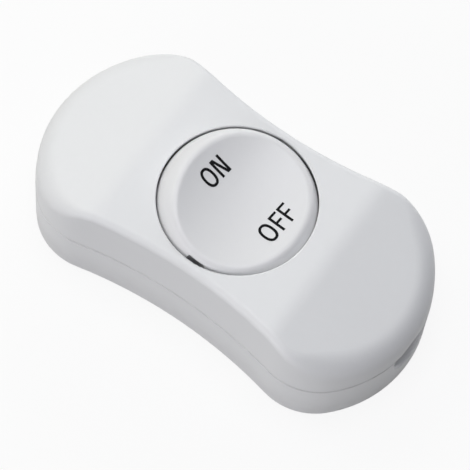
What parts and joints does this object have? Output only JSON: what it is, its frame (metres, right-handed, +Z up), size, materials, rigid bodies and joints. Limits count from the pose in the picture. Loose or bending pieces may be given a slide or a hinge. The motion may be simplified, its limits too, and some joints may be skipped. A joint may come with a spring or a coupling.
{
  "type": "inline cord switch",
  "caption": "Hand-held inline switch for a flexible cord: waisted two-shell plastic housing with sloped ends and a round dished rocker button.",
  "frame": {"origin": "middle of the flat base, which is the face it rests on", "axes": "+X along the housing from the ON side of the button to the OFF side, +Y across it, +Z up out of the button"},
  "size_m": [0.0708, 0.0362, 0.0239],
  "materials": {
    "housing_white": "white moulded plastic, satin",
    "button_white": "white moulded plastic, smooth with a soft gloss",
    "block_plastic": "ivory moulded insulating plastic, matt",
    "clamp_plastic": "white moulded plastic, matt",
    "terminal_brass": "stamped brass",
    "plunger_brass": "turned brass",
    "blade_copper": "stamped copper alloy",
    "contact_silver": "silver alloy rivet",
    "spring_steel": "bright spring steel",
    "screw_steel": "zinc-plated steel"
  },
  "bodies": {
    "housing": {"lower_housing": "housing_white", "upper_housing": "housing_white", "contact_block": "block_plastic", "live_inlet_terminal": "terminal_brass", "live_outlet_terminal": "terminal_brass", "neutral_inlet_terminal": "terminal_brass", "neutral_outlet_terminal": "terminal_brass", "earth_terminal": "terminal_brass", "terminal_screws": "screw_steel", "fixed_contacts": "contact_silver", "inlet_cord_clamp": "clamp_plastic", "outlet_cord_clamp": "clamp_plastic", "cord_clamp_screws": "screw_steel", "housing_screws": "screw_steel"},
    "rocker": {"rocker_button": "button_white", "live_plunger_spring": "spring_steel", "neutral_plunger_spring": "spring_steel"},
    "live_plunger": {"live_plunger": "plunger_brass"},
    "live_bridge": {"live_contact_bridge": "blade_copper", "live_bridge_contact": "contact_silver"},
    "neutral_plunger": {"neutral_plunger": "plunger_brass"},
    "neutral_bridge": {"neutral_contact_bridge": "blade_copper", "neutral_bridge_contact": "contact_silver"}
  },
  "joints": [
    {"name": "rocker_tilt", "type": "hinge", "parent": "housing", "child": "rocker", "pos_m": [0, 0, 0.0154], "axis": [0, -1, 0], "range_deg": [0, 18]},
    {"name": "live_plunger_slide", "type": "slide", "parent": "rocker", "child": "live_plunger", "axis": [0.1564, 0, 0.9877], "range_m": [0, 0.001], "stiffness_N_per_m": 600, "springref_m": -0.003, "deforming": ["live_plunger_spring"]},
    {"name": "live_bridge_tilt", "type": "hinge", "parent": "housing", "child": "live_bridge", "pos_m": [0, -0.006, 0.006], "axis": [0, -1, 0], "range_deg": [-16, 0]},
    {"name": "neutral_plunger_slide", "type": "slide", "parent": "rocker", "child": "neutral_plunger", "axis": [0.1564, 0, 0.9877], "range_m": [0, 0.001], "stiffness_N_per_m": 600, "springref_m": -0.003, "deforming": ["neutral_plunger_spring"]},
    {"name": "neutral_bridge_tilt", "type": "hinge", "parent": "housing", "child": "neutral_bridge", "pos_m": [0, 0.006, 0.006], "axis": [0, -1, 0], "range_deg": [-16, 0]}
  ],
  "couplings": [
    {"joint": "live_bridge_tilt", "follows": "rocker_tilt", "ratio": -0.8888},
    {"joint": "neutral_bridge_tilt", "follows": "rocker_tilt", "ratio": -0.8888}
  ]
}
